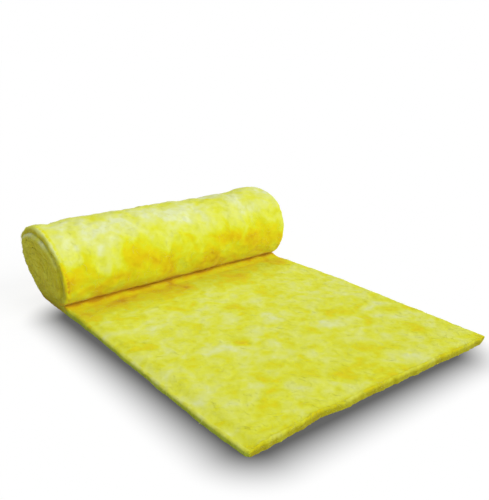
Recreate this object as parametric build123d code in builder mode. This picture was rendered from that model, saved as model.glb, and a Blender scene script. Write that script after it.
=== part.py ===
"""Wool blanket, partly unrolled: a sagging spiral roll with its outermost turn run out as a flat tail.

Frame: millimetres, +Z up. The origin is on the floor under the middle of the roll, halfway across the
blanket's width. +X runs along the roll, and the tail runs out towards -Y.
"""

import os

from build123d import *

# The blanket
blanket_width = 1200.0
blanket_thickness = 30.0

# The roll: it sags under its own weight, so it is deeper than it is high and flat where it lies
roll_height = 372.0
roll_sag = 70.0
contact_length = 170.0

# The eye: the hairpin fold at the blanket's inner end, left open as a flat slot along the roll
eye_height = 8.0
eye_width = 76.0

# The roll's left end has crept out past the tail's edge, and leans out further towards its top
left_creep = 16.0
left_lean = 28.0

# The inner turns are wound further to the left, the second one by most
first_drift = 14.0
later_drift = 2.0

# The tail, from the roll's middle to its cut end
tail_reach = 1422.0

# How far the tail's edges stand out or back, at even steps: the cut end from left to right, and the
# sides from under the roll to the cut end
cut_waves = (0.0, 2.0, -4.0, -17.0, -6.0, -3.0, -2.0, 1.0, 4.0, 5.0, 5.0, 6.0, 0.0)
left_waves = (0.0, -6.0, 0.0, 6.0, 9.0, 7.0, 0.0)
right_waves = (0.0, 8.0, 20.0, 19.0, 7.0, -2.0, 0.0)

# The winding: the outer half sizes of the outermost turn, before it climbs over its own start
half_height = (roll_height + blanket_thickness / 2) / 2
half_depth = half_height + roll_sag / 2 + blanket_thickness / 4
turns = int((half_height - eye_height) / blanket_thickness)

# One turn gains a whole thickness, so its sides differ by half of one, and this centres the roll
winding_y = -blanket_thickness / 4
winding_z = half_height


def drift(index):
    """How far a turn stands out at the left end of the roll, and in at the right end."""
    return 0.0 if index == 0 else first_drift + (index - 1) * later_drift


def quarter(side, drop, rise, reach, start_angle):
    """A quarter of a turn: an elliptical arc, moved to one side by half of the flat underside."""
    return EllipticalCenterArc(
        (winding_y + side * drop, winding_z),
        x_radius=reach - drop,
        y_radius=rise,
        start_angle=start_angle,
        arc_size=90,
    )


def turn_outline(index):
    """Outline of everything inside the outer face of one turn, counted from the outermost."""
    depth = half_depth - index * blanket_thickness
    height = half_height - index * blanket_thickness
    flat = contact_length / 2 * depth / half_depth
    back_reach = depth - blanket_thickness / 4
    front_reach = depth - blanket_thickness * 3 / 4
    with BuildSketch() as outline:
        with BuildLine():
            quarter(1, flat, height, back_reach, -90)
            quarter(1, 0, height - blanket_thickness / 2, back_reach, 0)
            quarter(1, 0, height - blanket_thickness / 2, front_reach, 90)
            front = quarter(-1, flat, height - blanket_thickness, front_reach, 180)
            Polyline(
                front @ 1,
                (winding_y - flat, winding_z - height),
                (winding_y + flat, winding_z - height),
            )
        make_face()
    return outline.sketch_local


def wound(index):
    """One turn with all that it holds, from its leaning left end to the right end of the roll."""
    left_end = Plane(
        origin=(-blanket_width / 2 - left_creep - drift(index), 0, winding_z),
        x_dir=(0, 1, 0),
        z_dir=(half_height, 0, left_lean),
    )
    with BuildPart() as turn:
        with BuildSketch(Plane.YZ.offset(-blanket_width)):
            add(turn_outline(index))
        extrude(amount=blanket_width * 3 / 2)
        split(bisect_by=left_end, keep=Keep.TOP)
    return turn.part


def waves(heights):
    """Even steps along an edge, from 0 to 1, each with its wave's height."""
    return [(i / (len(heights) - 1), height) for i, height in enumerate(heights)]


wound_turns = [wound(index) for index in range(turns)]
cut_points = [(blanket_width * (u - 0.5), -tail_reach - wave) for u, wave in waves(cut_waves)]
left_points = [(-blanket_width / 2 - wave, -tail_reach * u) for u, wave in waves(left_waves)]
right_points = [(blanket_width / 2 + wave, -tail_reach * u) for u, wave in waves(right_waves)]

with BuildPart() as wool_blanket:
    # The turns, each standing out past the one around it at the left end
    for turn in wound_turns:
        add(turn)

    # The tail, which leaves the underside of the roll as the outermost turn's own continuation
    with BuildSketch():
        with BuildLine():
            Line(left_points[0], right_points[0])
            Spline(*right_points)
            Spline(*cut_points)
            Spline(*left_points)
        make_face()
    extrude(amount=blanket_thickness)

    # The inner turns are sunk at the right end by as much as they stand out at the left
    for index in range(1, turns):
        with BuildSketch(Plane.YZ.offset(blanket_width / 2 - drift(index))):
            add(turn_outline(index))
        extrude(amount=drift(index) - drift(index - 1), mode=Mode.SUBTRACT)

    # The eye, from end to end
    with BuildSketch(Plane.YZ):
        with Locations((winding_y, winding_z)):
            SlotOverall(eye_width, eye_height)
    extrude(amount=blanket_width, both=True, mode=Mode.SUBTRACT)

wool_blanket.part.label = "wool_blanket"

os.makedirs("parts", exist_ok=True)
export_step(wool_blanket.part, "parts/wool_blanket.step")
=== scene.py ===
"""Looks of the wool blanket: a glass wool roll, partly run out over a pale studio floor.

Everything is in metres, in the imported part's own frame: +X along the roll, the tail towards -Y, +Z up, and
the origin on the floor under the middle of the roll.
"""

import logging
import math
from dataclasses import dataclass, field
from enum import Enum

import bmesh
import bpy
import numpy as np
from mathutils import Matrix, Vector, noise


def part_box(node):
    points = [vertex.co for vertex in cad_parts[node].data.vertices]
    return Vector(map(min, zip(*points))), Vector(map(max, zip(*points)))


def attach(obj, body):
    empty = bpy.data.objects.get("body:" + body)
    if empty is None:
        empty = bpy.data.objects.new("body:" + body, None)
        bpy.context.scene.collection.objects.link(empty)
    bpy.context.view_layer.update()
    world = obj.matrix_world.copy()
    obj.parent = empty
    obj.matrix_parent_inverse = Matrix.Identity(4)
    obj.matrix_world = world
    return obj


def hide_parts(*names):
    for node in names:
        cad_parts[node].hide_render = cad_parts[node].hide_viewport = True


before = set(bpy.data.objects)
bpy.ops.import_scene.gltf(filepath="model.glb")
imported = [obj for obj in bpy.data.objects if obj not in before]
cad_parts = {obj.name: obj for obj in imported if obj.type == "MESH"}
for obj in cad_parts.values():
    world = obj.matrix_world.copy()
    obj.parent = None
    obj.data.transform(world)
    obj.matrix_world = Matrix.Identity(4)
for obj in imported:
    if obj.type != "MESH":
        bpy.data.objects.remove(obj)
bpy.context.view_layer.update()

LOG = logging.getLogger("wool_blanket")
NODE = "wool_blanket"
BODY = "root"

WINDING_MAP = "winding"
# The cut mark gives the roll's ends the cut colours, partly painted shade
CUT_MARK = "cut_face"
# The front-cut mark gives painted shade on the tail's cut end and on its top arris near it
FRONT_MARK = "front_cut"
# The tail-side mark gives painted shade on the tail's sides
SIDE_MARK = "tail_side"
# The paleness carries the wool's mottle, the painted shade of the crease and the painted light on top of the
# roll
PALE_MARK = "paleness"
MARKS = (CUT_MARK, FRONT_MARK, SIDE_MARK, PALE_MARK)
FINER = 2.0  # how many times finer each octave of a noise is than the one before
SKIN_FIBRES = "skin_fibres"
EDGE_FIBRES = "edge_fibres"

Rgb = tuple[float, float, float]
Stops = tuple[tuple[float, Rgb], ...]
Band = tuple[float, float]
Array = np.ndarray


def srgb(red: int, green: int, blue: int) -> Rgb:
    """A screen colour of 0 to 255 as linear light.

    Args:
        red: Red on the screen.
        green: Green on the screen.
        blue: Blue on the screen.

    Returns:
        The three linear values.
    """

    def linear(value: int) -> float:
        """One channel as linear light."""
        part = value / 255
        return part / 12.92 if part <= 0.04045 else ((part + 0.055) / 1.055) ** 2.4

    return linear(red), linear(green), linear(blue)


def smooth(value: Array | float, low: float, high: float) -> Array:
    """A smooth step from 0 at low to 1 at high."""
    part = np.clip((np.asarray(value, dtype=float) - low) / (high - low), 0.0, 1.0)
    return part * part * (3 - 2 * part)


def rounded(part: Array) -> Array:
    """The drop of a quarter circle: 1 at part 0, and 0 from part 1 on."""
    near = np.clip(1 - part, 0.0, 1.0)
    return 1 - np.sqrt(1 - near * near)


def stacked(*values: Array | float) -> Array:
    """Puts values side by side along a new last axis, each spread out to the shape of the largest."""
    return np.stack(np.broadcast_arrays(*values), axis=-1)


def placed(name: str, data: bpy.types.ID) -> bpy.types.Object:
    """Puts a mesh, a lamp or a camera in the scene as an object at the origin."""
    made = bpy.data.objects.new(name, data)
    bpy.context.scene.collection.objects.link(made)
    return made


class Side(Enum):
    """An end of the roll, and the way that it faces along X."""

    LEFT = -1
    RIGHT = 1


class Graph:
    """A node tree, with one method that makes any of its nodes."""

    def __init__(self, tree: bpy.types.NodeTree) -> None:
        """Takes the tree to work in."""
        self.tree = tree

    def node(self, kind: str, settings: dict | None = None, inputs: dict | None = None) -> bpy.types.Node:
        """Makes a node.

        Args:
            kind: The node's type, such as ShaderNodeMath.
            settings: The node's own properties, which are set first.
            inputs: Values or links, by the socket's name or index.

        Returns:
            The new node.
        """
        made = self.tree.nodes.new(kind)
        for name, value in (settings or {}).items():
            if name == "stops":
                self._set_stops(made.color_ramp, value)
            else:
                setattr(made, name, value)
        for key, value in (inputs or {}).items():
            socket = made.inputs[key]
            if isinstance(value, Number):
                value = value.socket
            if isinstance(value, bpy.types.NodeSocket):
                self.tree.links.new(value, socket)
            else:
                socket.default_value = value
        return made

    @staticmethod
    def _set_stops(ramp: bpy.types.ColorRamp, stops: Stops) -> None:
        """Gives a ramp its stops, from its lowest to its highest."""
        while len(ramp.elements) > 1:
            ramp.elements.remove(ramp.elements[-1])
        first = ramp.elements[0]
        first.position, first.color = stops[0][0], (*stops[0][1], 1.0)
        for place, colour in stops[1:]:
            ramp.elements.new(place).color = (*colour, 1.0)

    def number(
        self, kind: str, output: str | int, settings: dict | None = None, inputs: dict | None = None
    ) -> "Number":
        """Makes a node and wraps one of its outputs, to use it in expressions."""
        return Number(self, self.node(kind, settings, inputs).outputs[output])


class Number:
    """A number in a node tree. Python's operators on it add Math nodes."""

    def __init__(self, graph: Graph, socket: bpy.types.NodeSocket) -> None:
        """Wraps a socket of the graph."""
        self.graph = graph
        self.socket = socket

    def _maths(self, operation: str, first: "Number | float", second: "Number | float") -> "Number":
        """Adds a Math node on two values."""
        return self.graph.number("ShaderNodeMath", 0, {"operation": operation}, {0: first, 1: second})

    def __add__(self, other: "Number | float") -> "Number":
        """self + other."""
        return self._maths("ADD", self, other)

    def __radd__(self, other: float) -> "Number":
        """other + self."""
        return self._maths("ADD", other, self)

    def __sub__(self, other: "Number | float") -> "Number":
        """self - other."""
        return self._maths("SUBTRACT", self, other)

    def __rsub__(self, other: float) -> "Number":
        """other - self."""
        return self._maths("SUBTRACT", other, self)

    def __mul__(self, other: "Number | float") -> "Number":
        """self * other."""
        return self._maths("MULTIPLY", self, other)

    def __rmul__(self, other: float) -> "Number":
        """other * self."""
        return self._maths("MULTIPLY", other, self)

    def __pow__(self, other: float) -> "Number":
        """self ** other."""
        return self._maths("POWER", self, other)

    def __abs__(self) -> "Number":
        """abs(self)."""
        return self._maths("ABSOLUTE", self, 0.0)

    def most(self, other: "Number | float") -> "Number":
        """The greater of self and other."""
        return self._maths("MAXIMUM", self, other)

    def step(self, low: float, high: float) -> "Number":
        """A smooth step from 0 at low to 1 at high."""
        return self.graph.number(
            "ShaderNodeMapRange",
            0,
            {"interpolation_type": "SMOOTHSTEP"},
            {"Value": self, "From Min": low, "From Max": high},
        )


def blank_material(name: str) -> tuple[bpy.types.Material, Graph]:
    """Makes a material with no nodes in it.

    Args:
        name: The material's name.

    Returns:
        The material, and its node tree to work in.
    """
    made = bpy.data.materials.new(name)
    made.use_nodes = True
    made.node_tree.nodes.clear()
    return made, Graph(made.node_tree)


@dataclass(frozen=True)
class WoolColours:
    """Colours of the glass wool, from the most golden to the palest, and those of its cut faces, which are
    darkened in part as painted shade.
    """

    # The lowest, darkest golden stops give the crease its painted shade
    skin: Stops = (
        (0.00, srgb(206, 162, 16)),
        (0.06, srgb(213, 178, 12)),
        (0.14, srgb(220, 192, 12)),
        (0.28, srgb(223, 207, 14)),
        (0.40, srgb(222, 215, 22)),
        (0.48, srgb(219, 219, 36)),
        (0.56, srgb(220, 224, 58)),
        (0.68, srgb(222, 227, 88)),
        (0.82, srgb(222, 228, 124)),
        (1.00, srgb(224, 231, 172)),
    )
    # The roll's cut ends: the cut wool's olive, partly darkened as painted shade
    cut: Stops = (
        (0.00, srgb(182, 160, 26)),
        (0.35, srgb(196, 186, 32)),
        (0.70, srgb(204, 203, 50)),
        (1.00, srgb(212, 216, 96)),
    )
    # The tail's cut end: the cut wool's colour, darkened further as painted shade
    front_cut: Stops = (
        (0.00, srgb(136, 115, 10)),
        (0.35, srgb(158, 149, 12)),
        (0.70, srgb(171, 169, 22)),
        (1.00, srgb(184, 190, 54)),
    )
    # The tail's sides: the cut wool's olive, darker as painted shade, most at the foot
    side: Stops = (
        (0.0, srgb(146, 156, 26)),
        (0.5, srgb(170, 186, 44)),
        (1.0, srgb(194, 210, 84)),
    )


@dataclass(frozen=True)
class WoolNoise:
    """One noise in the wool, and its weight in the skin's colour, in the grain of the cuts and in the relief.

    The scale is in lumps a metre. A stretched noise is drawn out into streaks, turned by some degrees.
    """

    scale: float
    detail: float
    roughness: float = 0.6
    bend: float = 0.5
    turn: float = 0.0
    stretch: float = 1.0
    skin: float = 0.0
    grain: float = 0.0
    relief: float = 0.0

    def made(self, graph: Graph, place: Number) -> Number:
        """Makes the noise.

        Args:
            graph: The material's nodes.
            place: Where on the laid-out blanket, in metres.

        Returns:
            The noise, around 0.5.
        """
        if self.stretch != 1.0:
            place = graph.number(
                "ShaderNodeMapping",
                0,
                {"vector_type": "TEXTURE"},
                {
                    "Vector": place,
                    "Rotation": (0.0, 0.0, math.radians(self.turn)),
                    "Scale": (1.0, 1.0 / self.stretch, 1.0),
                },
            )
        return graph.number(
            "ShaderNodeTexNoise",
            0,
            {"noise_dimensions": "3D"},
            {
                "Vector": place,
                "Scale": self.scale,
                "Detail": self.detail,
                "Roughness": self.roughness,
                "Distortion": self.bend,
            },
        )


@dataclass(frozen=True)
class WoolFinish:
    """Finish of the glass wool: matt and blotched, with short crossing fibres in its relief."""

    name: str
    colours: WoolColours = field(default_factory=WoolColours)
    blotches: tuple[WoolNoise, ...] = (
        WoolNoise(7.0, 2.0, roughness=0.5, bend=0.8, skin=0.95, grain=0.9),
        WoolNoise(17.0, 1.0, roughness=0.5, bend=0.6, skin=0.5),
        WoolNoise(34.0, 2.0, roughness=0.5, bend=1.2, skin=0.12, grain=0.6, relief=0.8),
        WoolNoise(95.0, 5.0, roughness=0.65, bend=0.0, skin=0.05, grain=0.5, relief=0.22),
    )
    streaks: tuple[WoolNoise, ...] = (
        WoolNoise(9.0, 2.0, turn=20.0, stretch=4.0, skin=0.14, relief=0.35),
        WoolNoise(10.0, 2.0, turn=-42.0, stretch=4.0, skin=0.14, relief=0.35),
        WoolNoise(12.0, 2.0, turn=68.0, stretch=4.0, skin=0.1, relief=0.3),
    )
    threads: tuple[WoolNoise, ...] = (
        WoolNoise(40.0, 2.0, turn=33.0, stretch=10.0, skin=0.016, relief=0.05),
        WoolNoise(44.0, 2.0, turn=-58.0, stretch=10.0, skin=0.016, relief=0.05),
    )
    layers: WoolNoise = WoolNoise(12.0, 4.0, turn=90.0, stretch=26.0, grain=0.8, relief=0.08)
    thread_width: float = 0.05
    relief: float = 0.45
    relief_height: float = 0.0035
    roughness: float = 0.95
    shine: float = 0.12
    sheen: float = 0.06
    sheen_roughness: float = 0.5

    def material(self) -> bpy.types.Material:
        """Builds the material.

        Returns:
            The wool's material.
        """
        made, graph = blank_material(self.name)
        place = graph.number("ShaderNodeUVMap", 0, {"uv_map": WINDING_MAP})
        cut, front, side, level = (self._mark(graph, name) for name in MARKS)

        layers = self.layers.made(graph, place)
        grain = (layers - 0.5) * self.layers.grain + 0.5
        relief = layers * cut * self.layers.relief
        for kind in (*self.blotches, *self.streaks):
            value = kind.made(graph, place)
            level = level + (value - 0.5) * kind.skin
            if kind.relief:
                relief = relief + value * kind.relief
            if kind.grain:
                grain = grain + (value - 0.5) * kind.grain
        for kind in self.threads:
            line = 1.0 - abs(kind.made(graph, place) - 0.5).step(0.0, self.thread_width)
            level = level + line * kind.skin
            relief = relief + line * kind.relief

        colour = self._ramp(graph, self.colours.skin, level)
        cut_colours = (self.colours.cut, self.colours.front_cut, self.colours.side)
        for mark, stops in zip((cut, front, side), cut_colours):
            over = self._ramp(graph, stops, grain)
            mixed = graph.node("ShaderNodeMix", {"data_type": "RGBA"}, {0: mark, 6: colour, 7: over})
            colour = mixed.outputs[2]
        bump = graph.node(
            "ShaderNodeBump",
            None,
            {"Strength": self.relief, "Distance": self.relief_height, "Height": relief},
        )
        shader = graph.node(
            "ShaderNodeBsdfPrincipled",
            None,
            {
                "Base Color": colour,
                "Roughness": self.roughness,
                "Specular IOR Level": self.shine,
                "Sheen Weight": self.sheen,
                "Sheen Roughness": self.sheen_roughness,
                "Normal": bump.outputs[0],
            },
        )
        graph.node("ShaderNodeOutputMaterial", None, {"Surface": shader.outputs[0]})
        return made

    @staticmethod
    def _mark(graph: Graph, name: str) -> Number:
        """A number that the mesh carries at each point."""
        return graph.number("ShaderNodeAttribute", "Fac", {"attribute_name": name})

    @staticmethod
    def _ramp(graph: Graph, stops: Stops, value: Number) -> bpy.types.NodeSocket:
        """A colour between the stops."""
        return graph.node("ShaderNodeValToRGB", {"stops": stops}, {0: value}).outputs[0]


@dataclass(frozen=True)
class FibreFinish:
    """Finish of the loose fibres: blotched, and a little shiny."""

    name: str
    colours: Stops
    scale: float = 22.0
    detail: float = 3.0
    contrast: float = 2.0
    roughness: float = 0.7
    shine: float = 0.2

    def material(self) -> bpy.types.Material:
        """Builds the material.

        Returns:
            The fibres' material.
        """
        made, graph = blank_material(self.name)
        place = graph.number("ShaderNodeTexCoord", "Object")
        spots = {"Vector": place, "Scale": self.scale, "Detail": self.detail}
        value = (graph.number("ShaderNodeTexNoise", 0, None, spots) - 0.5) * self.contrast + 0.5
        colour = graph.node("ShaderNodeValToRGB", {"stops": self.colours}, {0: value}).outputs[0]
        shader = graph.node(
            "ShaderNodeBsdfPrincipled",
            None,
            {"Base Color": colour, "Roughness": self.roughness, "Specular IOR Level": self.shine},
        )
        graph.node("ShaderNodeOutputMaterial", None, {"Surface": shader.outputs[0]})
        return made


@dataclass(frozen=True)
class Patch:
    """A patch where the wool is paler or more golden, by its place on the laid-out blanket, in metres."""

    across: float
    along: float
    width: float
    length: float
    paler: float

    def weight(self, x: Array, along: Array) -> Array:
        """What it adds to the paleness at each point."""
        away = ((x - self.across) / self.width) ** 2 + ((along - self.along) / self.length) ** 2
        return self.paler * np.exp(-away)


@dataclass(frozen=True)
class Paleness:
    """How pale the wool is, from 0, ochre, to 1, nearly white.

    It is golden and darker by the crease, as painted shade, and palest on top of the roll, as painted light;
    the patches are the wool's own mottle. A band is the run over which a level changes.
    """

    # On both faces by the crease: painted shade, darkest and most golden in the crease
    crease: float = -0.06
    crease_shade_gold: float = 0.33

    # On the tail, by the distance to the crease or to the cut end: the golden run out from the crease and the
    # golden strip along the cut end are painted shade
    tail: float = 0.63
    tail_crease_band: Band = (0.0, 0.036)
    tail_band: Band = (0.03, 0.30)
    front_gold: float = 0.07
    front_band: Band = (0.95, 1.30)
    cut_shade_gold: float = 0.07
    cut_band: Band = (0.004, 0.026)

    # On the roll, by the height over the crease, and by the distance to its left rim: golden low down as
    # painted shade, palest on top as painted light, and golden along the left rim as painted shade
    roll_crease_band: Band = (0.0, 0.030)
    roll_light_rise: float = 0.34
    roll_band: Band = (0.06, 0.25)
    top_light_rise: float = 0.12
    top_band: Band = (0.22, 0.33)
    rim_shade_gold: float = 0.3
    rim_band: Band = (0.0, 0.018)

    patches: tuple[Patch, ...] = (
        Patch(-0.264, 2.345, 0.065, 0.055, -0.36),
        Patch(-0.150, 2.400, 0.090, 0.045, -0.16),
        Patch(0.222, 2.361, 0.130, 0.045, -0.22),
        Patch(0.430, 2.394, 0.130, 0.070, -0.26),
        Patch(-0.575, 2.390, 0.035, 0.060, -0.18),
        Patch(-0.120, 1.180, 0.150, 0.045, -0.14),
        Patch(-0.325, 1.188, 0.150, 0.055, -0.14),
        Patch(0.416, 1.065, 0.090, 0.045, -0.10),
        Patch(-0.196, 0.535, 0.032, 0.034, -0.20),
        Patch(-0.007, 0.141, 0.110, 0.045, -0.16),
        Patch(-0.312, 0.240, 0.060, 0.050, -0.16),
        Patch(-0.294, 0.063, 0.090, 0.035, -0.13),
        Patch(0.341, 0.380, 0.050, 0.050, -0.14),
        Patch(-0.447, 2.242, 0.100, 0.080, 0.14),
        Patch(0.010, 2.160, 0.160, 0.030, 0.14),
        Patch(0.435, 2.237, 0.060, 0.040, 0.14),
        Patch(0.071, 0.634, 0.060, 0.050, 0.20),
        Patch(0.466, 0.456, 0.080, 0.030, 0.20),
        Patch(-0.309, 0.550, 0.080, 0.040, 0.20),
        Patch(0.240, 0.082, 0.150, 0.060, 0.24),
        Patch(-0.536, 0.400, 0.070, 0.250, 0.08),
    )

    def of_tail(self, x: Array, along: Array, gap: Array) -> Array:
        """Paleness on the tail's upper face.

        Args:
            x: Place across the blanket.
            along: Length along it from its cut end.
            gap: Distance to the crease.

        Returns:
            The paleness.
        """
        level = self.crease + (self.crease_shade_gold - self.crease) * smooth(gap, *self.tail_crease_band)
        level = level + (self.tail - self.crease_shade_gold) * smooth(gap, *self.tail_band)
        level = level - self.front_gold * smooth(gap, *self.front_band)
        level = level - self.cut_shade_gold * (1 - smooth(along, *self.cut_band))
        return level + sum(patch.weight(x, along) for patch in self.patches)

    def of_roll(self, x: Array, along: Array, height: Array) -> Array:
        """Paleness on the roll's outer face.

        Args:
            x: Place across the blanket.
            along: Length along it from its cut end.
            height: Height above the crease.

        Returns:
            The paleness.
        """
        level = self.crease + (self.crease_shade_gold - self.crease) * smooth(height, *self.roll_crease_band)
        level = level + self.roll_light_rise * smooth(height, *self.roll_band)
        level = level + self.top_light_rise * smooth(height, *self.top_band)
        return level + sum(patch.weight(x, along) for patch in self.patches)

    def by_rim(self, gap: Array) -> Array:
        """What the roll's left rim takes off the paleness, as painted shade, by the distance to it."""
        return self.rim_shade_gold * (1 - smooth(gap, *self.rim_band))


@dataclass
class Winding:
    """The line of the blanket's outer face: along the tail, round every turn of the roll, and round the eye.

    A row is a point of the line. The first is at the foot of the tail's cut end.
    """

    # The stock, the tail and the roll's flat underside
    thickness: float = 0.030
    tail_reach: float = 1.422
    contact: float = 0.17
    turns: int = 6

    # The eye, and the angles at which its stretches begin and end
    eye_width: float = 0.076
    eye_height: float = 0.005
    eye_angles: tuple[float, ...] = (-112.0, -68.0, 0.0, 90.0, 180.0, 248.0)

    # The cut end: how far its foot and its top are rounded off, how far behind it the top face has given
    # way to the row below it, and where the rows near it stand
    foot_arris: float = 0.0015
    top_arris: float = 0.008
    arris_reach: float = 0.05
    cut_rows: tuple[float, ...] = (0.0035, 0.006, 0.009, 0.013)
    even_rows_from: float = 0.018

    # The crease: how far the roll is drawn in over it, by the height, and where the tail rises towards it
    tuck: float = 0.005
    tuck_in: Band = (0.0, 0.018)
    tuck_out: Band = (0.02, 0.09)
    rise_reach: float = 0.06

    # How many rows there are on the tail, in the closed crease, under a turn and on each quarter of a turn
    tail_rows: int = 190
    closed_rows: int = 10
    flat_rows: int = 24
    quarter_rows: tuple[int, ...] = (43, 44, 43, 38)

    def __post_init__(self) -> None:
        """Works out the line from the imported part's box."""
        low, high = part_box(NODE)
        self.half_height = (high[2] - low[2] + self.thickness / 2) / 2
        self.half_depth = high[1] + self.thickness / 2
        self.middle = (-self.thickness / 4, self.half_height)
        self.per_turn = self.flat_rows + sum(self.quarter_rows)
        self.first_seam = self.tail_rows + self.per_turn
        self.crease_row = self.first_seam - self.closed_rows
        self.last_tail_row = self.tail_rows - self.closed_rows
        self.lines = self._lines()
        self.eye_row = len(self.lines) - self.per_turn
        self.crease = self.lines[self.crease_row]
        steps = np.linalg.norm(np.diff(self.lines, axis=0), axis=1)
        self.along = np.concatenate([[0.0], np.cumsum(steps)])

    def _flat(self, index: int) -> float:
        """Half of the flat run under a turn."""
        depth = self.half_depth - index * self.thickness
        return self.contact / 2 * depth / self.half_depth

    def _turn(self, index: int) -> Array:
        """Points along the outer face of one turn.

        Args:
            index: The turn, counted from the outermost.

        Returns:
            An array of y and z, from under the front of the roll, round by its back, to its front again.
        """
        y, z = self.middle
        depth = self.half_depth - index * self.thickness
        height = self.half_height - index * self.thickness
        flat = self._flat(index)
        before = self._flat(index - 1) if index else flat
        back = depth - self.thickness / 4
        front = depth - self.thickness * 3 / 4
        rise = height - self.thickness / 2
        quarters = (
            (flat, back - flat, height, -90.0),
            (0.0, back, rise, 0.0),
            (0.0, front, rise, 90.0),
            (-flat, front - flat, height - self.thickness, 180.0),
        )
        run = np.linspace(-before, flat, self.flat_rows, endpoint=False)
        points = [stacked(y + run, z - height)]
        for rows, (offset, reach, tall, start) in zip(self.quarter_rows, quarters):
            angle = np.radians(start + np.linspace(0.0, 90.0, rows, endpoint=False))
            points.append(stacked(y + offset + reach * np.cos(angle), z + tall * np.sin(angle)))
        return np.vstack(points)

    def _eye(self) -> Array:
        """Points round the eye, as many as along a turn."""
        y, z = self.middle
        stretches = zip(self.eye_angles, self.eye_angles[1:], (self.flat_rows, *self.quarter_rows))
        angle = np.concatenate([np.linspace(a, b, rows, endpoint=False) for a, b, rows in stretches])
        angle = np.radians(angle)
        return stacked(y + self.eye_width / 2 * np.cos(angle), z + self.eye_height / 2 * np.sin(angle))

    def _lines(self) -> Array:
        """The whole line's y and z, row by row."""
        outermost = self._turn(0)
        front = outermost[-self.quarter_rows[-1] :]
        lift = front[:, 1] - front[-self.closed_rows, 1]
        front[:, 0] -= self.tuck * smooth(lift, *self.tuck_in) * (1 - smooth(lift, *self.tuck_out))
        under = outermost[-self.closed_rows :, 0]
        near_cut = -self.tail_reach + np.array([self.foot_arris, *self.cut_rows])
        even_rows = self.tail_rows - self.closed_rows - len(near_cut)
        even = np.linspace(-self.tail_reach + self.even_rows_from, under[0], even_rows, endpoint=False)
        tail = stacked(np.concatenate([near_cut, even, under]), 0.0)
        inner_turns = (self._turn(index) for index in range(1, self.turns))
        return np.vstack([tail, outermost, *inner_turns, self._eye()])

    def cut_step(self, y: Array, gaps: Band) -> Array:
        """A smooth step from 0 to 1 between two distances to the cut end, the greater one first."""
        begins, ends = (self.tail_reach - gap for gap in gaps)
        return smooth(-y, begins, ends)

    def inner(self, rows: Array) -> Array:
        """Points on the blanket's other face: the tail's top, or the next turn in."""
        y = self.lines[rows, 0]
        behind = smooth(y + self.tail_reach, self.foot_arris, self.arris_reach)
        step = (self.top_arris - self.foot_arris) * (1 - behind)
        rise = smooth(y, self.crease[0] - self.rise_reach, self.crease[0])
        top = stacked(y + step, self.thickness + (self.crease[1] - self.thickness) * rise)
        wound = self.lines[np.minimum(rows + self.per_turn, len(self.lines) - 1)]
        return np.where((rows < self.last_tail_row)[:, None], top, wound)


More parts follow.
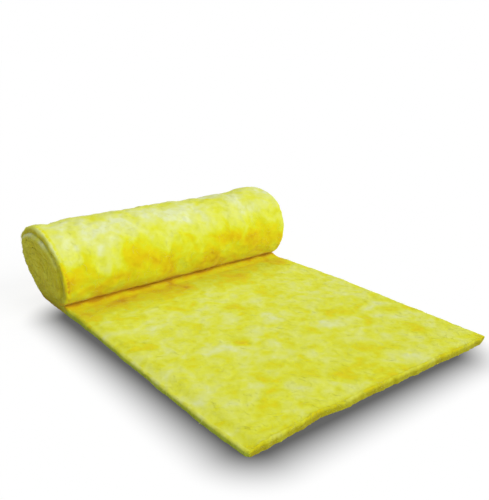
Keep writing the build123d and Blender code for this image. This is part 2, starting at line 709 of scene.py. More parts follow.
@dataclass
class Edges:
    """Where the blanket's edges stand: waved along the tail, and leaning, drifted and rounded on the roll.

    Each place is a distance from X = 0. A wave is a row of heights at even steps along its edge.
    """

    winding: Winding
    width: float = 1.2

    # The roll's ends: how far they stand out and lean, how far the inner turns have drifted to the left, and
    # between which distances in front of the crease the tail's edge gives way to them
    creep: dict[Side, float] = field(default_factory=lambda: {Side.LEFT: 0.020, Side.RIGHT: 0.008})
    lean: dict[Side, float] = field(default_factory=lambda: {Side.LEFT: 0.028, Side.RIGHT: 0.017})
    first_drift: float = 0.014
    later_drift: float = 0.002
    drift_run: float = 0.12
    roll_begins: Band = (0.085, 0.004)

    # How far the arrises are rounded off, on the roll, along the tail's sides and at its two corners
    roll_arris: dict[Side, float] = field(default_factory=lambda: {Side.LEFT: 0.012, Side.RIGHT: 0.007})
    side_arris: float = 0.012
    corner: dict[Side, float] = field(default_factory=lambda: {Side.LEFT: 0.020, Side.RIGHT: 0.010})
    foot_share: float = 0.1
    top_share: float = 0.45

    # The seams between the turns: their depth, how it wanders, and how much less of it the inner turns have.
    # A line is where a noise is read, as its other two places
    seam_depth: float = 0.004
    seam_level: float = 0.6
    seam_wander: float = 0.9
    seam_waves: float = 4.0
    seam_line: Band = (3.0, 0.5)
    shallowest_seam: float = 0.15
    inner_seam_loss: float = 0.97
    least_round: float = 0.1
    least_inner_round: float = 0.45
    most_outer_round: float = 0.75
    most_inner_round: float = 0.55

    # Between which rows one rounding gives way to the next, counted from where the face changes
    climb_rows: Band = (-4.0, 24.0)
    crease_rows: Band = (-14.0, 0.0)
    inner_rows: Band = (-30.0, 10.0)
    seam_rows: int = 6
    side_rows: Band = (-10.0, 0.0)

    # The waves, and how far and how near to the cut end its own wave and its ragged line reach
    waves: dict[Side, tuple[float, ...]] = field(
        default_factory=lambda: {
            Side.LEFT: (
                0.0, -0.003, -0.009, -0.009, -0.007, -0.004, 0.001,
                0.003, 0.0075, 0.010, 0.0115, 0.0105, 0.008,
            ),
            Side.RIGHT: (
                0.0, 0.004, 0.008, 0.014, 0.020, 0.0195, 0.019,
                0.015, 0.012, 0.009, 0.004, -0.004, -0.003,
            ),
        }
    )
    cut_waves: tuple[float, ...] = (
        0.008, 0.005, 0.0, -0.011, 0.002, -0.002, 0.001,
        0.003, 0.005, 0.006, 0.011, 0.014, 0.011,
    )
    cut_wave_run: Band = (0.2, 0.02)
    ragged: float = 0.0050
    ragged_run: Band = (0.04, 0.005)
    ragged_per_metre: float = 33.0
    ragged_fall: float = 0.7
    ragged_octaves: int = 4
    ragged_line: Band = (4.0, 0.0)

    # Steps through the thickness, from the outer face to the inner one
    across: tuple[float, ...] = (0.0, 0.012, 0.05, 0.14, 0.27, 0.42, 0.58, 0.73, 0.86, 0.95, 0.988, 1.0)

    def __post_init__(self) -> None:
        """Works out the edges of the outer face and of the tail's upper face."""
        self.part = np.asarray(self.across)
        self.outer = {side: self._outer(side) for side in Side}
        self.top = {side: self._top(side) for side in Side}

    def _drift(self, row: Array) -> Array:
        """How far the turns have drifted to the left at a row."""
        turn = (np.asarray(row, dtype=float) - self.winding.tail_rows) / self.winding.per_turn
        total = self.first_drift * smooth(turn, 1.0, 1.0 + self.drift_run)
        for index in range(2, self.winding.turns):
            total = total + self.later_drift * smooth(turn, index, index + self.drift_run)
        return total

    def _plane(self, side: Side, points: Array, row: Array) -> Array:
        """How far out the blanket's edge stands, before its arrises are rounded off.

        Args:
            side: The end of the roll.
            points: The points' y and z.
            row: Their rows.

        Returns:
            Distances from X = 0.
        """
        winding = self.winding
        y, z = points[..., 0], points[..., 1]
        tail = np.asarray(row) < winding.tail_rows
        begins, ends = (winding.crease[0] - reach for reach in self.roll_begins)
        rolled = np.where(tail, smooth(y, begins, ends), 1.0)
        wave = self._wave(self.waves[side], np.clip(-y / winding.tail_reach, 0.0, 1.0))
        near_cut = np.clip((y + winding.tail_reach) / self.corner[side], 0.0, 1.0)
        wave = wave - np.where(tail, self.corner[side] * rounded(near_cut), 0.0)
        lean = self.lean[side] * (z - winding.middle[1]) / winding.middle[1]
        out = self.creep[side] + lean - side.value * self._drift(row)
        return self.width / 2 + wave * (1 - rolled) + out * rolled

    @staticmethod
    def _wave(heights: tuple[float, ...], part: Array) -> Array:
        """A smooth line through even steps of wave heights."""
        place = part * (len(heights) - 1)
        low = np.clip(np.floor(place).astype(int), 0, len(heights) - 2)
        ease = smooth(place - low, 0.0, 1.0)
        values = np.asarray(heights)
        return values[low] * (1 - ease) + values[low + 1] * ease

    def _outer(self, side: Side) -> Array:
        """Where the outer face ends at one side, row by row."""
        winding = self.winding
        rows = np.arange(len(winding.lines))
        plane = self._plane(side, winding.lines, rows)
        next_out = self._plane(side, winding.lines, np.maximum(rows - winding.per_turn, winding.tail_rows))

        climbed = smooth(rows - (winding.tail_rows + winding.flat_rows), *self.climb_rows)
        arris = winding.foot_arris + (self.roll_arris[side] - winding.foot_arris) * climbed
        creased = smooth(rows - winding.crease_row, *self.crease_rows)
        arris = arris + (self.seam_depth - self.roll_arris[side]) * creased

        across, up = self.seam_line
        places = (Vector((s * self.seam_waves, side.value * across, up)) for s in winding.along)
        wander = np.array([noise.noise(place) for place in places])
        depth = np.clip(self.seam_level + self.seam_wander * wander, self.shallowest_seam, 1.0)
        inner_turns = smooth(rows - (winding.first_seam + winding.per_turn), *self.inner_rows)
        seam = self.seam_depth * depth * (1 - self.inner_seam_loss * inner_turns)
        seam = arris + (seam - arris) * smooth(rows, winding.crease_row, winding.first_seam + self.seam_rows)
        return np.where(rows >= winding.first_seam, np.minimum(plane, next_out) - seam, plane - arris)

    def _top(self, side: Side) -> Array:
        """Where the tail's upper face ends at one side, from the cut end to the crease."""
        winding = self.winding
        rows = np.arange(winding.last_tail_row + 1)
        points = winding.inner(rows)
        plane = self._plane(side, points, rows)
        at_crease = self._plane(side, points[-1:], winding.first_seam)[0]
        at_crease = at_crease - self.outer[side][winding.crease_row]
        near = smooth(rows - winding.last_tail_row, *self.side_rows)
        return plane - (self.side_arris + (at_crease - self.side_arris) * near)

    def cut_wave(self, x: Array, y: Array) -> Array:
        """How far the cut end's waves move a point of the tail outwards."""
        places = (Vector((value * self.ragged_per_metre, *self.ragged_line)) for value in x.ravel())
        heights = [noise.fractal(place, self.ragged_fall, FINER, self.ragged_octaves) for place in places]
        ragged = np.array(heights).reshape(x.shape)
        wave = self._wave(self.cut_waves, np.clip(x / self.width + 0.5, 0.0, 1.0))
        wave = wave * self.winding.cut_step(y, self.cut_wave_run)
        return wave + self.ragged * ragged * self.winding.cut_step(y, self.ragged_run)

    def sunk(self) -> Array:
        """How far the cut end stands back at each step, rounded off at its foot and its top."""
        foot = self.winding.foot_arris * rounded(self.part / self.foot_share)
        return foot + self.winding.top_arris * rounded((1 - self.part) / self.top_share)

    def strip(self, side: Side, rows: Array) -> Array:
        """Points of the blanket's edge.

        Args:
            side: The end of the roll.
            rows: The rows to cover.

        Returns:
            Positions, as rows by steps through the thickness by 3.
        """
        winding, part = self.winding, self.part
        outer = winding.lines[rows]
        inner = winding.inner(rows)
        on_tail = rows < winding.last_tail_row
        edge = self.outer[side]
        wound_edge = edge[np.minimum(rows + winding.per_turn, len(edge) - 1)]
        top_edge = self.top[side][np.minimum(rows, winding.last_tail_row)]
        inner_edge = np.where(on_tail, top_edge, wound_edge)
        points = outer[:, None, :] * (1 - part[:, None]) + inner[:, None, :] * part[:, None]
        plane = self._plane(side, points, np.repeat(rows[:, None], len(part), axis=1))

        outer_depth = plane[:, :1] - edge[rows][:, None]
        inner_depth = plane[:, -1:] - inner_edge[:, None]
        in_roll = (rows >= winding.first_seam + winding.per_turn)[:, None]
        least = np.where(in_roll, self.least_inner_round, self.least_round)
        outer_share = np.clip(outer_depth / winding.thickness, least, self.most_outer_round)
        inner_share = np.clip(inner_depth / winding.thickness, self.least_round, self.most_inner_round)
        out = plane - outer_depth * rounded(part / outer_share)
        x = side.value * (out - inner_depth * rounded((1 - part) / inner_share))

        y = np.where((rows == 0)[:, None], -winding.tail_reach + self.sunk(), points[..., 0])
        y = np.where(on_tail[:, None], y - self.cut_wave(x, y), y)
        return stacked(x, y, points[..., 1])


class SkinMesh:
    """Grids of points and faces, collected and then welded into one closed mesh."""

    def __init__(self) -> None:
        """Starts with nothing in it."""
        self.positions: list[Array] = []
        self.uvs: list[Array] = []
        self.marks: list[Array] = []
        self.faces: list[tuple[int, ...]] = []
        self.count = 0

    def points(self, positions: Array, uv: Array, marks: Array) -> Array:
        """Adds points.

        Args:
            positions: Positions, with their 3 parts on the last axis.
            uv: The winding map, with its 2 parts on the last axis.
            marks: Cut face, front cut, tail side and paleness on the last axis.

        Returns:
            The points' numbers, in the shape of the positions' other axes.
        """
        shape = positions.shape[:-1]
        numbers = np.arange(math.prod(shape)).reshape(shape) + self.count
        self.positions.append(positions.reshape(-1, 3))
        self.uvs.append(uv.reshape(-1, 2))
        self.marks.append(marks.reshape(-1, 4))
        self.count += math.prod(shape)
        return numbers

    def grid(self, positions: Array, uv: Array, marks: Array, flip: bool) -> Array:
        """Adds a grid of points with four-sided faces between them, turned round where flip is True."""
        ids = self.points(positions, uv, marks)
        quads = stacked(ids[:-1, :-1], ids[:-1, 1:], ids[1:, 1:], ids[1:, :-1]).reshape(-1, 4)
        self.faces.extend(map(tuple, (quads[:, ::-1] if flip else quads).tolist()))
        return ids

    def welded(self, name: str, nearest: float = 1e-5, thinnest: float = 1e-6) -> bpy.types.Mesh:
        """Welds all that was added.

        Args:
            name: The mesh's name.
            nearest: Points nearer than this are welded.
            thinnest: Faces thinner than this are taken out.

        Returns:
            The closed mesh.
        """
        positions, uvs, marks = (np.vstack(rows).tolist() for rows in (self.positions, self.uvs, self.marks))
        work = bmesh.new()
        layer = work.loops.layers.uv.new(WINDING_MAP)
        for mark_name in MARKS:
            work.verts.layers.float.new(mark_name)
        layers = [work.verts.layers.float[mark_name] for mark_name in MARKS]
        vertices = [work.verts.new(point) for point in positions]
        for vertex, values in zip(vertices, marks):
            for mark, value in zip(layers, values):
                vertex[mark] = value
        for loop in self.faces:
            face = work.faces.new([vertices[i] for i in loop])
            face.smooth = True
            for corner, i in zip(face.loops, loop):
                corner[layer].uv = uvs[i]
        bmesh.ops.remove_doubles(work, verts=work.verts, dist=nearest)
        bmesh.ops.dissolve_degenerate(work, edges=work.edges, dist=thinnest)
        bmesh.ops.recalc_face_normals(work, faces=work.faces)
        open_edges = sum(1 for edge in work.edges if not edge.is_manifold)
        LOG.info("%s: %d faces, %d open edges", name, len(work.faces), open_edges)
        mesh = bpy.data.meshes.new(name)
        work.to_mesh(mesh)
        work.free()
        return mesh


@dataclass(frozen=True)
class Lumps:
    """One size of lump: how many fit in a metre, their height, and how much higher they are on the roll."""

    per_metre: float
    flat: float
    wound: float
    octaves: int
    fall: float = 1.0

    def height(self, point: Vector, rolled: float) -> float:
        """Their height at a point, where rolled is 0 on the tail and 1 on the roll."""
        place = point * self.per_metre
        plain = self.octaves == 1
        value = noise.noise(place) if plain else noise.fractal(place, self.fall, FINER, self.octaves)
        return value * (self.flat + self.wound * rolled)


@dataclass(frozen=True)
class Dent:
    """A shallow dent over the back of the roll, or a rise where its depth is below 0."""

    across: float
    width: float
    depth: float

    def drop(self, x: Array) -> Array:
        """How far it lowers the wool at places across the blanket."""
        return self.depth * np.exp(-(((x - self.across) / self.width) ** 2))


@dataclass(frozen=True)
class Wear:
    """What handling and its own weight do to the wool: lumps, dents, a settled side and a worn cut end."""

    lumps: tuple[Lumps, ...] = (
        Lumps(7.0, 0.0020, 0.0060, 1),
        Lumps(19.0, 0.0016, 0.0030, 3),
        Lumps(50.0, 0.0013, 0.0, 3, fall=0.8),
    )
    rolled_heights: Band = (0.04, 0.12)
    in_crease: float = 0.3
    crease_reach: float = 0.05

    # The tail's left side has settled. The cut end's foot is drawn back, by more at its right corner, which
    # is lifted as well. Only points that start on the floor end on it
    settled: float = 0.009
    side_from: Band = (0.54, 0.60)
    settled_from: Band = (0.25, 0.45)
    cut_run: Band = (0.05, 0.0)
    undercut: float = 0.0015
    corner_back: float = 0.004
    corner_lift: float = 0.006
    on_floor: float = 1e-4
    off_floor: float = 0.0004

    # The dents, on the high part of the roll and behind its crest
    dents: tuple[Dent, ...] = (
        Dent(-0.560, 0.030, 0.006),
        Dent(0.140, 0.050, 0.005),
        Dent(0.275, 0.060, 0.016),
        Dent(0.400, 0.050, 0.007),
        Dent(0.560, 0.050, -0.010),
    )
    dent_heights: Band = (0.20, 0.33)
    dent_depths: Band = (-0.07, 0.03)

    # Where loose fibres stand: over the floor, and outside the eye
    fibre_heights: Band = (0.006, 0.016)
    eye_reach: Band = (0.05, 0.07)

    def apply(self, mesh: bpy.types.Mesh, winding: Winding) -> None:
        """Moves the skin's points, and marks where fibres stand off.

        Args:
            mesh: The blanket's welded mesh.
            winding: The line that it was made on.
        """
        flat_points = np.empty(len(mesh.vertices) * 3)
        flat_normals = np.empty(len(mesh.vertices) * 3)
        mesh.vertices.foreach_get("co", flat_points)
        mesh.vertex_normals.foreach_get("vector", flat_normals)
        points = flat_points.reshape(-1, 3)
        moved = points + flat_normals.reshape(-1, 3) * self._lump_heights(points, winding)[:, None]
        self._settle(points, moved, winding)
        mesh.vertices.foreach_set("co", moved.ravel())
        self._mark_fibres(mesh, points, winding)
        mesh.update()

    def _lump_heights(self, points: Array, winding: Winding) -> Array:
        """Heights of the lumps, lower in the crease."""
        rolled = smooth(points[:, 2], *self.rolled_heights)
        heights = [
            sum(lumps.height(Vector(point), part) for lumps in self.lumps)
            for point, part in zip(points.tolist(), rolled.tolist())
        ]
        gap = np.hypot(points[:, 1] - winding.crease[0], points[:, 2] - winding.crease[1])
        share = self.in_crease + (1 - self.in_crease) * smooth(gap, 0.0, self.crease_reach)
        return np.array(heights) * share

    def _settle(self, points: Array, moved: Array, winding: Winding) -> None:
        """Settles the tail's left side, wears its cut end and dents the roll."""
        x, y, z = points.T
        share = (z / winding.thickness).clip(0, 1)
        left = smooth(-x, *self.side_from) * smooth(-y, *self.settled_from)
        moved[:, 2] -= self.settled * left * share
        right = smooth(x, *self.side_from)
        near = winding.cut_step(y, self.cut_run)
        moved[:, 1] += (self.undercut + self.corner_back * right) * near * (1 - share)
        moved[:, 2] += self.corner_lift * right * near * (1 - share)
        moved[:, 2] = np.maximum(moved[:, 2], np.where(z < self.on_floor, 0.0, self.off_floor))
        drop = sum(dent.drop(x) for dent in self.dents)
        moved[:, 2] -= drop * smooth(z, *self.dent_heights) * smooth(y, *self.dent_depths)

    def _mark_fibres(self, mesh: bpy.types.Mesh, points: Array, winding: Winding) -> None:
        """Marks how thickly fibres stand on the skin and on the cut faces."""
        rim = np.zeros(len(points))
        values = np.empty(len(points))
        for name in (CUT_MARK, FRONT_MARK, SIDE_MARK):
            mesh.attributes[name].data.foreach_get("value", values)
            rim = np.maximum(rim, values)
        from_eye = np.hypot(points[:, 1] - winding.middle[0], points[:, 2] - winding.middle[1])
        room = smooth(points[:, 2], *self.fibre_heights) * smooth(from_eye, *self.eye_reach)
        for name, value in ((SKIN_FIBRES, (1 - rim) * room), (EDGE_FIBRES, rim * room)):
            mesh.attributes.new(name, "FLOAT", "POINT").data.foreach_set("value", value)


@dataclass
class Blanket:
    """The wound blanket and its tail, as one closed skin whose turns show at both ends of the roll."""

    winding: Winding = field(default_factory=Winding)
    paleness: Paleness = field(default_factory=Paleness)
    wear: Wear = field(default_factory=Wear)
    columns: int = 160
    under_columns: int = 12
    eye_columns: int = 4

    # Where the cut faces lie on the winding map, beside the blanket's own two faces
    edge_gap: float = 0.05
    cut_end_place: float = -0.7

    # How much of the darker front-cut colour the tail's top arris takes near the cut end, as painted shade,
    # and how near to the cut end it begins
    painted_arris_shade: float = 0.30
    painted_arris_run: Band = (0.016, 0.007)

    # Where the cut colours begin and end, as parts of the thickness
    cut_end_parts: Band = (0.0, 0.5)
    outer_turn_parts: Band = (0.08, 0.50)
    tail_side_parts: Band = (0.15, 0.42)

    # The marks at the eye's first point, in the order of MARKS
    tip_marks: tuple[float, ...] = (1.0, 0.0, 0.0, 0.5)

    # The pale crescent at the top of the second turn: its skin showing at the end, painted pale as a
    # highlight where it catches the light
    crescent: float = 0.95
    crescent_heights: Band = (0.01, 0.14)
    crescent_parts: Band = (0.15, 0.6)
    crescent_highlight: float = 0.78

    def __post_init__(self) -> None:
        """Works out the edges, and starts an empty skin."""
        self.edges = Edges(self.winding)
        self.skin = SkinMesh()

    def build(self, name: str) -> bpy.types.Object:
        """Builds the blanket.

        Args:
            name: The object's name.

        Returns:
            The blanket, as one mesh object at the origin.
        """
        winding = self.winding
        self._outer_face(np.arange(winding.tail_rows, winding.crease_row + 1), self.columns, True, True)
        top_rows = np.arange(winding.last_tail_row + 1)
        self._face(top_rows, winding.inner(top_rows), self.edges.top, self.columns, False, False)
        self._under()
        self._cut_end()
        for side in Side:
            self._end(side)
        eye_rows = np.arange(winding.eye_row, len(winding.lines))
        self._outer_face(np.append(eye_rows, winding.eye_row), self.eye_columns, True, False)

        mesh = self.skin.welded(name)
        self.wear.apply(mesh, winding)
        return placed(name, mesh)

    def _face(
        self, rows: Array, line: Array, sides: dict[Side, Array], columns: int, wound: bool, flip: bool
    ) -> Array:
        """Adds a face of the blanket that runs from edge to edge.

        Args:
            rows: The winding's rows that it covers.
            line: The face's y and z, row by row.
            sides: How far each of its edges stands from the middle, row by row.
            columns: Columns of faces between the edges.
            wound: True on the roll, False on the tail.
            flip: True to turn the faces round.

        Returns:
            The numbers of the points, as rows by columns.
        """
        winding = self.winding
        left, right = (sides[side][:, None] for side in Side)
        part = np.linspace(0.0, 1.0, columns + 1)
        x = -left * (1 - part) + right * part
        y, z, length = (np.repeat(v[:, None], columns + 1, axis=1) for v in (*line.T, winding.along[rows]))
        worn = 0.0
        # The paleness holds painted shade by the crease and painted light on top of the roll
        if wound:
            pale = self.paleness.of_roll(x, length, z - winding.crease[1]) - self.paleness.by_rim(left + x)
        else:
            pale = self.paleness.of_tail(x, length, winding.crease[0] - y)
            # Near the cut end the top arris takes some front-cut colour, as painted shade
            worn = self.painted_arris_shade * winding.cut_step(y, self.painted_arris_run)
            y = y - self.edges.cut_wave(x, y)
        return self.skin.grid(stacked(x, y, z), stacked(x, length), stacked(0.0, worn, 0.0, pale), flip)

    def _outer_face(self, rows: Array, columns: int, wound: bool, flip: bool) -> Array:
        """Adds a stretch of the outer face, from edge to edge, and returns its points' numbers."""
        sides = {side: self.edges.outer[side][rows] for side in Side}
        return self._face(rows, self.winding.lines[rows], sides, columns, wound, flip)

    def _under(self) -> None:
        """Adds the underside of the tail, in wide columns that meet finer ones at the roll and the cut."""
        last = self.winding.tail_rows
        coarse = self._outer_face(np.arange(1, last), self.under_columns, False, True)
        ends = [round(i * self.columns / self.under_columns) for i in range(self.under_columns + 1)]
        for row, near, flip in ((0, coarse[0], False), (last, coarse[-1], True)):
            ids = self._outer_face(np.array([row]), self.columns, False, False)[0]
            for i in range(self.under_columns):
                fine = ids[ends[i] : ends[i + 1] + 1].tolist()
                loop = (int(near[i + 1]), int(near[i]), *fine)
                self.skin.faces.append(loop[::-1] if flip else loop)

    def _cut_end(self) -> None:
        """Adds the cut face at the tail's end."""
        winding, part = self.winding, self.edges.part
        share = np.linspace(0.0, 1.0, self.columns + 1)
        left, right = (self.edges.strip(side, np.array([0]))[0][:, :1] for side in Side)
        x = left * (1 - share) + right * share
        y = -winding.tail_reach + self.edges.sunk()[:, None] + 0 * x
        y = y - self.edges.cut_wave(x, y)
        z = (part * winding.thickness)[:, None] + 0 * x
        # The cut end takes the darker front-cut colour, fully towards its foot: painted shade
        cut = self.painted_arris_shade + (1 - self.painted_arris_shade) * smooth(1 - part, *self.cut_end_parts)
        pale = self.paleness.of_tail(x, 0 * x, winding.crease[0] - y)
        marks = stacked(0.0, cut[:, None], 0.0, pale)
        self.skin.grid(stacked(x, y, z), stacked(self.cut_end_place - z, x), marks, False)

    def _end(self, side: Side) -> None:
        """Adds one edge of the blanket: the tail's side, and the turns at one end of the roll."""
        winding, part = self.winding, self.edges.part
        rows = np.arange(winding.eye_row)
        points = self.edges.strip(side, rows)
        x, y, z = (points[..., i] for i in range(3))
        length = winding.along[rows][:, None] + 0 * x
        across = side.value * (self.edges.width / 2 + self.edge_gap) + part * winding.thickness
        uv = stacked(across, length)

        on_tail = (rows < winding.last_tail_row)[:, None]
        outermost = ((rows >= winding.tail_rows) & (rows < winding.first_seam))[:, None]
        second = ((rows >= winding.first_seam) & (rows < winding.first_seam + winding.per_turn))[:, None]
        # The second turn's top takes little cut colour and a fixed paleness: its skin, with a painted
        # highlight
        upper = smooth(z - winding.middle[1], *self.crescent_heights)
        crescent = 1 - self.crescent * upper * (1 - smooth(part, *self.crescent_parts))
        cut = np.where(outermost, smooth(part, *self.outer_turn_parts), np.where(second, crescent, 1.0))
        cut = np.where(on_tail, 0.0, cut)
        # The tail's sides take the side colours, most towards the foot: painted shade
        tail_side = np.where(on_tail, smooth(1 - part, *self.tail_side_parts), 0.0)
        of_tail = self.paleness.of_tail(x, length, winding.crease[0] - y)
        of_roll = self.paleness.of_roll(x, length, z - winding.crease[1])
        pale = np.where(on_tail, of_tail, np.where(second, self.crescent_highlight, of_roll))
        ids = self.skin.grid(points, uv, stacked(cut, 0.0, tail_side, pale), side is Side.LEFT)

        # The last row ends in a fan to the eye's first point
        out = side.value * self.edges.outer[side][winding.eye_row]
        tip = np.array([out, *winding.lines[winding.eye_row]])
        last = int(self.skin.points(tip, uv[-1, -1], np.array(self.tip_marks)))
        for a, b in zip(ids[-1, :-1].tolist(), ids[-1, 1:].tolist()):
            self.skin.faces.append((a, last, b) if side is Side.LEFT else (a, b, last))


@dataclass(frozen=True)
class LooseFibres:
    """Curved strands that lie on the wool and stand off it a little, as thickly as the mask says."""

    name: str
    mask: str
    per_square_metre: float
    length: float
    thickness: float
    lift: float
    tilt: float
    seed: int
    sizes: Band = (0.45, 1.3)

    # The strand's start, middle and end: along and across it as shares of its length, and up of its lift
    bow: tuple[tuple[float, float, float], ...] = ((-0.5, 0.0, -0.4), (0.1, 0.4, 2.0), (0.5, -0.05, 0.3))
    bow_steps: int = 5
    sides: int = 3
    off_floor: float = 0.0002

    def _tree(self, material: bpy.types.Material) -> bpy.types.NodeTree:
        """Builds the node tree that scatters the strands."""
        tree = bpy.data.node_groups.new(self.name, "GeometryNodeTree")
        tree.interface.new_socket("Wool", in_out="INPUT", socket_type="NodeSocketGeometry")
        for label in ("Strands per square metre", "Length", "Thickness", "Lift", "Tilt"):
            tree.interface.new_socket(label, in_out="INPUT", socket_type="NodeSocketFloat")
        tree.interface.new_socket("Seed", in_out="INPUT", socket_type="NodeSocketInt")
        tree.interface.new_socket("Strands", in_out="OUTPUT", socket_type="NodeSocketGeometry")
        graph = Graph(tree)
        given = graph.node("NodeGroupInput").outputs
        density, length, thickness, lift, tilt = (Number(graph, given[i]) for i in range(1, 6))
        mask = graph.number("GeometryNodeInputNamedAttribute", 0, {"data_type": "FLOAT"}, {"Name": self.mask})
        points = graph.node(
            "GeometryNodeDistributePointsOnFaces",
            None,
            {"Mesh": given["Wool"], "Density": mask * density, "Seed": given["Seed"]},
        )
        strand = self._strand(graph, length, thickness, lift)
        most = graph.node("ShaderNodeCombineXYZ", None, {0: tilt, 1: tilt, 2: math.tau})
        least = graph.node("ShaderNodeCombineXYZ", None, {0: tilt * -1.0, 1: tilt * -1.0, 2: 0.0})
        turn = graph.node(
            "FunctionNodeRandomValue",
            {"data_type": "FLOAT_VECTOR"},
            {0: least.outputs[0], 1: most.outputs[0], "Seed": given["Seed"]},
        )
        turned = graph.node("FunctionNodeEulerToRotation", None, {0: turn.outputs[0]})
        rotation = graph.node(
            "FunctionNodeRotateRotation",
            {"rotation_space": "LOCAL"},
            {0: points.outputs["Rotation"], 1: turned.outputs[0]},
        )
        size = graph.node(
            "FunctionNodeRandomValue",
            {"data_type": "FLOAT"},
            {2: self.sizes[0], 3: self.sizes[1], "Seed": given["Seed"]},
        )
        strands = graph.node(
            "GeometryNodeInstanceOnPoints",
            None,
            {
                "Points": points.outputs[0],
                "Instance": strand,
                "Rotation": rotation.outputs[0],
                "Scale": size.outputs[1],
            },
        )
        real = graph.node("GeometryNodeRealizeInstances", None, {0: strands.outputs[0]})
        dressed = graph.node(
            "GeometryNodeSetMaterial", None, {"Geometry": real.outputs[0], "Material": material}
        )
        graph.node("NodeGroupOutput", None, {0: dressed.outputs[0]})
        return tree

    def _strand(self, graph: Graph, length: Number, thickness: Number, lift: Number) -> bpy.types.NodeSocket:
        """Makes one bowed strand."""
        start, middle, end = (
            graph.node("ShaderNodeCombineXYZ", None, {0: length * x, 1: length * y, 2: lift * z}).outputs[0]
            for x, y, z in self.bow
        )
        curve = graph.node(
            "GeometryNodeCurveQuadraticBezier",
            None,
            {"Resolution": self.bow_steps, "Start": start, "Middle": middle, "End": end},
        )
        ring = graph.node(
            "GeometryNodeCurvePrimitiveCircle", None, {"Resolution": self.sides, "Radius": thickness * 0.5}
        )
        inputs = {"Curve": curve.outputs[0], "Profile Curve": ring.outputs[0]}
        return graph.node("GeometryNodeCurveToMesh", None, inputs).outputs[0]

    def build(self, wool: bpy.types.Object, material: bpy.types.Material) -> bpy.types.Object:
        """Scatters the strands over the wool.

        Args:
            wool: The blanket's object.
            material: The strands' material.

        Returns:
            The strands, as one plain mesh object at the origin.
        """
        carrier = placed(self.name + "_carrier", wool.data.copy())
        modifier = carrier.modifiers.new(self.name, "NODES")
        modifier.node_group = self._tree(material)
        values = {
            "Strands per square metre": self.per_square_metre,
            "Length": self.length,
            "Thickness": self.thickness,
            "Lift": self.lift,
            "Tilt": self.tilt,
            "Seed": self.seed,
        }
        for item in modifier.node_group.interface.items_tree:
            if item.name in values:
                modifier[item.identifier] = values[item.name]
        evaluated = carrier.evaluated_get(bpy.context.evaluated_depsgraph_get())
        mesh = bpy.data.meshes.new_from_object(evaluated)
        mesh.name = self.name
        for vertex in mesh.vertices:
            vertex.co.z = max(vertex.co.z, self.off_floor)
        carrier.modifiers.clear()
        bpy.data.objects.remove(carrier)
        return placed(self.name, mesh)


@dataclass(frozen=True)
class Lamp:
    """A soft sun: how wide it looks, its azimuth from -Y towards +X and its elevation, in degrees."""

    name: str
    strength: float
    spread: float
    azimuth: float
    elevation: float

    def build(self) -> None:
        """Makes the lamp."""
        light = bpy.data.lights.new(self.name, "SUN")
        light.energy = self.strength
        light.angle = math.radians(self.spread)
        a, e = math.radians(self.azimuth), math.radians(self.elevation)
        towards = Vector((math.sin(a) * math.cos(e), -math.cos(a) * math.cos(e), math.sin(e)))
        placed(self.name, light).rotation_euler = towards.to_track_quat("Z", "Y").to_euler()


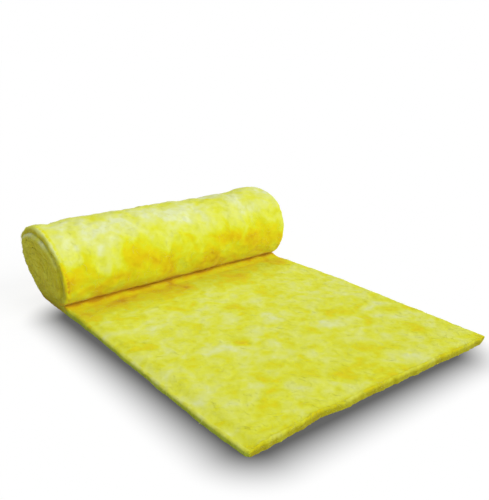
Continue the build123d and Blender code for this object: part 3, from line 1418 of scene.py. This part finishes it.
@dataclass(frozen=True)
class Studio:
    """The floor, the light and the camera."""

    # The camera's place, its turn from +Y and its dip, in degrees, and its focal length in picture points
    camera_place: tuple[float, float, float] = (-1.58724, -2.64481, 1.14069)
    azimuth: float = -38.516
    dip: float = 18.126
    focal_points: float = 642.87
    picture_height: int = 500
    sensor: float = 36.0

    # The light
    sky: float = 0.36
    lamps: tuple[Lamp, ...] = (
        Lamp("key_light", 0.75, 40.0, 150.0, 60.0),
        Lamp("front_light", 2.08, 40.0, 28.0, 34.0),
    )

    # The floor, and the painted soft shadow in it, drawn from a box rather than cast: the box's left, right,
    # front and back, and how it fades away from it
    floor_size: float = 60.0
    floor_grey: float = 0.88
    floor_white: float = 1.01
    painted_shadow_box: tuple[float, float, float, float] = (-0.533, 0.37, -1.36, -0.19)
    shadow_edge: Band = (0.078, 0.275)
    shadow_fade: float = 0.65
    shadow_dark: float = 0.13
    real_shade: float = 0.15

    def floor(self) -> bpy.types.Object:
        """Makes the pale floor, white to the camera, darkened near the object by a painted shadow, and
        keeping a small share of its real shading.
        """
        paint, graph = blank_material("studio_floor")
        seen = self._seen(graph)
        # The floor's shade near the object is a painted shadow
        shade = self._painted_shadow(graph)
        grey = graph.node("ShaderNodeCombineColor", None, {i: shade * self.real_shade for i in range(3)})
        plain = (self.floor_grey, self.floor_grey, self.floor_grey, 1.0)
        colour = graph.node("ShaderNodeMix", {"data_type": "RGBA"}, {0: seen, 6: plain, 7: grey.outputs[0]})
        matt = graph.node("ShaderNodeBsdfDiffuse", None, {"Color": colour.outputs[2]})
        strength = seen * shade * (self.floor_white - self.real_shade)
        glow = graph.node("ShaderNodeEmission", None, {"Color": (1.0, 1.0, 1.0, 1.0), "Strength": strength})
        both = graph.node("ShaderNodeAddShader", None, {0: matt.outputs[0], 1: glow.outputs[0]})
        graph.node("ShaderNodeOutputMaterial", None, {"Surface": both.outputs[0]})

        half = self.floor_size / 2
        mesh = bpy.data.meshes.new("studio_floor")
        corners = [(x * half, y * half, 0.0) for x, y in ((-1, -1), (1, -1), (1, 1), (-1, 1))]
        mesh.from_pydata(corners, [], [(0, 1, 2, 3)])
        mesh.materials.append(paint)
        return placed("studio_floor", mesh)

    @staticmethod
    def _seen(graph: Graph) -> Number:
        """1 on rays that show the studio to the camera, straight or by a shiny or clear surface, else 0."""
        rays = graph.node("ShaderNodeLightPath").outputs
        names = ("Is Camera Ray", "Is Glossy Ray", "Is Transmission Ray")
        straight, shiny, clear = (Number(graph, rays[name]) for name in names)
        return straight + shiny + clear

    def _painted_shadow(self, graph: Graph) -> Number:
        """The painted soft shadow under the blanket: its darkness near the shadow's box, and 1 away from it.
        """
        place = graph.node("ShaderNodeTexCoord").outputs["Object"]
        parts = graph.node("ShaderNodeSeparateXYZ", None, {0: place}).outputs
        left, right, front, back = self.painted_shadow_box
        across = abs(Number(graph, parts[0]) - (left + right) / 2) - (right - left) / 2
        along = abs(Number(graph, parts[1]) - (front + back) / 2) - (back - front) / 2
        away = (across.most(0.0) ** 2.0 + along.most(0.0) ** 2.0) ** 0.5
        fade = away.step(*self.shadow_edge) ** self.shadow_fade
        return fade * (1.0 - self.shadow_dark) + self.shadow_dark

    def world(self) -> None:
        """Makes the plain white surroundings."""
        world = bpy.data.worlds.new("studio")
        bpy.context.scene.world = world
        world.use_nodes = True
        world.node_tree.nodes.clear()
        graph = Graph(world.node_tree)
        strength = self._seen(graph) * (1.0 - self.sky) + self.sky
        sky = graph.node("ShaderNodeBackground", None, {"Color": (1.0, 1.0, 1.0, 1.0), "Strength": strength})
        graph.node("ShaderNodeOutputWorld", None, {"Surface": sky.outputs[0]})

    def camera(self) -> None:
        """Makes the camera at the photograph's place."""
        data = bpy.data.cameras.new("camera")
        data.sensor_width = self.sensor
        data.lens = self.focal_points * self.sensor / self.picture_height
        made = placed("camera", data)
        made.location = self.camera_place
        made.rotation_euler = (math.radians(90 - self.dip), 0.0, math.radians(self.azimuth))
        bpy.context.scene.camera = made

    def build(self) -> None:
        """Makes the whole studio."""
        self.floor()
        self.world()
        for lamp in self.lamps:
            lamp.build()
        self.camera()
        bpy.context.scene.view_settings.view_transform = "Standard"


SURFACE_FIBRES = LooseFibres(
    name="surface_fibres",
    mask=SKIN_FIBRES,
    per_square_metre=1000.0,
    length=0.030,
    thickness=0.0006,
    lift=0.0007,
    tilt=0.04,
    seed=3,
)
CUT_FIBRES = LooseFibres(
    name="edge_fibres",
    mask=EDGE_FIBRES,
    per_square_metre=9000.0,
    length=0.014,
    thickness=0.0006,
    lift=0.0014,
    tilt=0.30,
    seed=8,
)
PALE_YELLOW: Stops = ((0.0, srgb(218, 212, 60)), (0.5, srgb(222, 226, 104)), (1.0, srgb(226, 233, 152)))
OLIVE: Stops = ((0.0, srgb(190, 182, 44)), (0.5, srgb(204, 203, 82)), (1.0, srgb(214, 218, 122)))


def main() -> None:
    """Builds the blanket, its loose fibres and the studio, and reports each piece."""
    logging.basicConfig(level=logging.INFO, format="%(name)s: %(message)s")

    blanket = Blanket().build("glass_wool_blanket")
    blanket.data.materials.append(WoolFinish("glass_wool").material())
    pieces = [blanket]
    for fibres, colours in ((SURFACE_FIBRES, PALE_YELLOW), (CUT_FIBRES, OLIVE)):
        pieces.append(fibres.build(blanket, FibreFinish(fibres.name, colours).material()))
    for piece in pieces:
        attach(piece, BODY)
        piece.data.calc_loop_triangles()
        LOG.info("%s: %d triangles", piece.name, len(piece.data.loop_triangles))
    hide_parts(NODE)

    Studio().build()


if __name__ == "__main__":
    main()
